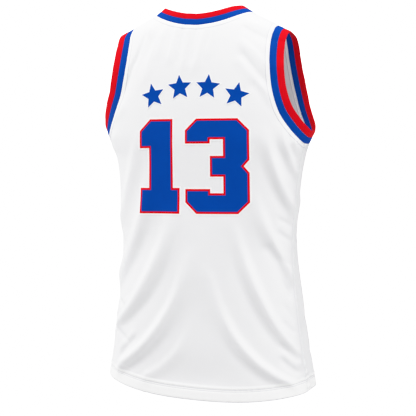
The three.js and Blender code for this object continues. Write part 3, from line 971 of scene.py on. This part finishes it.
def star(radius, innerShare, turn):
    corners = []
    for i in range(10):
        reach = radius * (innerShare if i % 2 else 1)
        angle = math.radians(90 + turn + i * 36)
        corners.append((reach * math.cos(angle), reach * math.sin(angle)))
    return corners


# Outline with each side moved out by the same distance
def grown(outline, distance):
    points = [Vector(p) for p in outline]
    made = []
    for i, point in enumerate(points):
        sideA, sideB = point - points[i - 1], points[(i + 1) % len(points)] - point
        before = Vector((sideA.y, -sideA.x)).normalized()
        after = Vector((sideB.y, -sideB.x)).normalized()
        middle = (before + after).normalized()
        made.append(point + middle * distance / max(0.4, middle.dot(before)))
    return made


def pressedLayer(name, outline, place, lift):
    bm = bmesh.new()
    bm.faces.new([bm.verts.new((p.x, p.y, 0)) for p in outline])
    bm.normal_update()
    bmesh.ops.triangulate(bm, faces=bm.faces)
    for axis in (0, 1):
        low = min(p[axis] for p in outline)
        high = max(p[axis] for p in outline)
        way = Vector((1 - axis, axis, 0))
        for k in range(1, int((high - low) / figure["step"]) + 1):
            geometry = bm.verts[:] + bm.edges[:] + bm.faces[:]
            cut = way * (low + k * figure["step"])
            bmesh.ops.bisect_plane(bm, geom=geometry, dist=1e-5, plane_co=cut, plane_no=way)
    bmesh.ops.remove_doubles(bm, verts=bm.verts, dist=1e-4)
    layer = bm.loops.layers.uv.new("UVMap")
    for f in bm.faces:
        for corner in f.loops:
            corner[layer].uv = corner.vert.co.xy * mm
    flat = np.array([v.co for v in bm.verts])
    points, normals = clothPoint(-(flat[:, 0] + place[0]), flat[:, 1] + place[1], "back")
    points = points + normals * lift
    points[:, 1] += panelCut["apart"]
    for vert, point in zip(bm.verts, points):
        vert.co = Vector(point) * mm
    bmesh.ops.recalc_face_normals(bm, faces=bm.faces)
    if sum(f.normal.y for f in bm.faces) < 0:
        bmesh.ops.reverse_faces(bm, faces=bm.faces)
    for edge in bm.edges:
        edge.smooth = not edge.is_boundary  # the cut edges stay crisp
    mesh = bpy.data.meshes.new(name)
    bm.to_mesh(mesh)
    bm.free()
    return mesh


def pressOn(node, outline, place, layers):
    for i, (colour, edge, lift, thickness) in enumerate(layers):
        shape = grown(outline, edge)
        mesh = pressedLayer(f"{node}_{colour}", shape, place, lift)
        piece = finishedPiece(mesh, materials["twill" + colour.capitalize()])
        thicken(piece, thickness)
        if i == 0:
            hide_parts(node)


pressOn("figure_one", figureOne(76), (-108, -391), figureLayers)
pressOn("figure_three", figureThree(118), (-12, -391), figureLayers)
starForm = {"radius": 25, "innerShare": 0.46}
starPlaces = table(["across", "up", "turn"], [
    [-84, -165, 12],
    [-28, -150, 4],
    [29, -150, -4],
    [85, -166, -12],
])
for i, (across, up, turn) in enumerate(zip(*starPlaces.values())):
    pressOn(f"star_{i + 1}", star(**starForm, turn=turn), (across, up), starLayers)
print("figures and stars made")

# Studio: a pale floor well below, a white surround and soft light, with the camera at the photo's angle
studio = {
    "floorHeight": -1.3,
    "floorRadius": 1.9,
    "surround": 0.39,
    "lampAim": -0.4,
    "cameraTurn": 17,
    "cameraDistance": 2.5,
    "cameraHeight": -0.320,
    "aimHeight": -0.386,
    "lens": 108,
    "shift": 0.0053,
}
lights = table(["x", "y", "z", "size", "power"], [
    [0, 0.9, 2.4, 1.4, 14],
    [0, 1.8, 2, 1.4, 14.5],
    [0, 2.4, 0.9, 1.4, 9],
    [1.5, 0.5, 2, 1.2, 12],
    [-1.5, 0.5, 2, 1.2, 17],
    [2, 0.9, 1.2, 1.2, 10],
    [-2, 0.9, 1.2, 1.2, 9],
    [2.4, 0, 0.1, 1.4, 16],
    [-2.4, 0, 0.1, 1.4, 11],
])
# Brightness in the scene and in the picture, with a soft shoulder that keeps the white cloth's form
tone = table(["seen", "shown"], [
    [0, 0],
    [0.2, 0.2],
    [0.4, 0.4],
    [0.6, 0.6],
    [0.8, 0.8],
    [0.9, 0.879],
    [1.0, 0.926],
    [1.15, 0.965],
    [1.4, 0.99],
    [2.0, 1.0],
])

bm = bmesh.new()
bmesh.ops.create_circle(bm, cap_ends=True, segments=96, radius=studio["floorRadius"])
bmesh.ops.translate(bm, verts=bm.verts, vec=(0, 0, studio["floorHeight"]))
floorMesh = bpy.data.meshes.new("floor")
bm.to_mesh(floorMesh)
bm.free()
floor = bpy.data.objects.new("floor", floorMesh)
bpy.context.scene.collection.objects.link(floor)
# Matt white emulsion paint: pale, even and without shine
floorPaint = bpy.data.materials.new("matt_white_floor")
floorPaint.use_nodes = True
paint = floorPaint.node_tree.nodes["Principled BSDF"]
paint.inputs["Base Color"].default_value = linear("#F2F2F2")
paint.inputs["Roughness"].default_value = 0.9
floorMesh.materials.append(floorPaint)

world = bpy.data.worlds.new("surround")
bpy.context.scene.world = world
world.use_nodes = True
tree = world.node_tree
backdrop = tree.nodes["Background"]
backdrop.inputs["Color"].default_value = (1, 1, 1, 1)
cameraRay = addNode(tree, "ShaderNodeLightPath", {}, output="Is Camera Ray")
limits = {"To Min": studio["surround"], "To Max": tone["seen"][-1]}
strength = addNode(tree, "ShaderNodeMapRange", limits, {"Value": cameraRay})
tree.links.new(strength, backdrop.inputs["Strength"])

for i in range(len(lights["x"])):
    lamp = bpy.data.lights.new(f"soft_box_{i + 1}", "AREA")
    lamp.size, lamp.energy = lights["size"][i], lights["power"][i]
    holder = bpy.data.objects.new(lamp.name, lamp)
    holder.location = [lights[k][i] for k in ("x", "y", "z")]
    toJersey = Vector((0, 0, studio["lampAim"])) - holder.location
    holder.rotation_euler = toJersey.to_track_quat("-Z", "Y").to_euler()
    bpy.context.scene.collection.objects.link(holder)

camera = bpy.data.objects.new("camera", bpy.data.cameras.new("camera"))
bpy.context.scene.collection.objects.link(camera)
turn = math.radians(studio["cameraTurn"])
away = studio["cameraDistance"]
camera.location = (-math.sin(turn) * away, math.cos(turn) * away, studio["cameraHeight"])
aim = Vector((0, 0, studio["aimHeight"])) - camera.location
camera.rotation_euler = aim.to_track_quat("-Z", "Y").to_euler()
camera.data.lens = studio["lens"]
camera.data.shift_x = studio["shift"]
bpy.context.scene.camera = camera
display = bpy.context.scene.view_settings
display.view_transform = "Standard"
display.use_curve_mapping = True
display.curve_mapping.white_level = [tone["seen"][-1]] * 3
curve = display.curve_mapping.curves[3]  # the one for all channels
for seen, shown in zip(tone["seen"][1:-1], tone["shown"][1:-1]):
    curve.points.new(seen / tone["seen"][-1], shown)
display.curve_mapping.update()
print("studio made")
